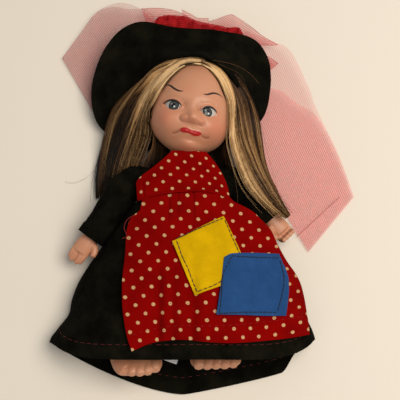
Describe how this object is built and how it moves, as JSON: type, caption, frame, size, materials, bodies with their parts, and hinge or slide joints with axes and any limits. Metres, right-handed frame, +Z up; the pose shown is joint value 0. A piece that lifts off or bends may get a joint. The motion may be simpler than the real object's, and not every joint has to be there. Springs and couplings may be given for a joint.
{
  "type": "dressed witch doll",
  "caption": "Vinyl witch doll lying on its back in a black felt dress and wide-brimmed hat, with a dotted red apron, felt patches, long hair and a red net ribbon.",
  "frame": {"origin": "on the table plane, on the flat back of the skirt, in the body's middle plane and in line with the hip axis", "axes": "+X to the right as seen from above, +Y toward the head, +Z up from the table out of the doll's front"},
  "size_m": [0.1943, 0.2475, 0.0562],
  "materials": {
    "vinyl": "soft satin skin tone with painted lips and brows",
    "eye": "glossy inset",
    "black_felt": "matte brushed felt",
    "dotted_cotton": "plain weave with cream dots",
    "yellow_felt": "matte felt",
    "blue_felt": "matte felt",
    "white_tape": "smooth woven tape, blank",
    "dark_hair": "glossy straight fibre",
    "blonde_hair": "glossy straight fibre",
    "red_net": "open stiffened net"
  },
  "bodies": {
    "torso": {"torso": "vinyl", "dress_bodice": "black_felt", "dress_skirt": "black_felt", "apron_skirt": "dotted_cotton", "apron_bib": "dotted_cotton", "apron_waistband": "dotted_cotton", "apron_neck_strap": "dotted_cotton", "patch_yellow": "yellow_felt", "patch_blue": "blue_felt", "care_label": "white_tape"},
    "head": {"head": "vinyl", "eye_left": "eye", "eye_right": "eye", "hair_cap": "dark_hair", "hair_front_left": "blonde_hair", "hair_front_right": "blonde_hair", "hair_back_left": "dark_hair", "hair_back_right": "dark_hair", "hat_brim": "black_felt", "hat_crown": "black_felt", "hat_bow": "red_net", "hat_tail_left": "red_net", "hat_tail_right": "red_net"},
    "arm_left": {"arm_left": "vinyl", "sleeve_left": "black_felt"},
    "arm_right": {"arm_right": "vinyl", "sleeve_right": "black_felt"},
    "leg_left": {"leg_left": "vinyl"},
    "leg_right": {"leg_right": "vinyl"}
  },
  "joints": [
    {"name": "neck_turn", "type": "hinge", "parent": "torso", "child": "head", "pos_m": [0, 0.0615, 0.021], "axis": [0, 1, 0], "range_deg": [-45, 45], "deforming": ["hair_front_left", "hair_front_right", "hair_back_left", "hair_back_right"]},
    {"name": "shoulder_left", "type": "hinge", "parent": "torso", "child": "arm_left", "pos_m": [-0.0235, 0.05, 0.021], "axis": [-1, 0, 0], "range_deg": [-40, 110]},
    {"name": "shoulder_right", "type": "hinge", "parent": "torso", "child": "arm_right", "pos_m": [0.0235, 0.05, 0.021], "axis": [-1, 0, 0], "range_deg": [-40, 110]},
    {"name": "hip_right", "type": "hinge", "parent": "torso", "child": "leg_right", "pos_m": [0.0105, 0, 0.019], "axis": [-1, 0, 0], "range_deg": [0, 70], "deforming": ["dress_skirt", "apron_skirt", "patch_yellow", "patch_blue"]},
    {"name": "hip_left", "type": "hinge", "parent": "torso", "child": "leg_left", "pos_m": [-0.0105, 0, 0.019], "axis": [-1, 0, 0], "range_deg": [0, 70]}
  ],
  "couplings": [
    {"joint": "hip_left", "follows": "hip_right", "ratio": 1}
  ]
}
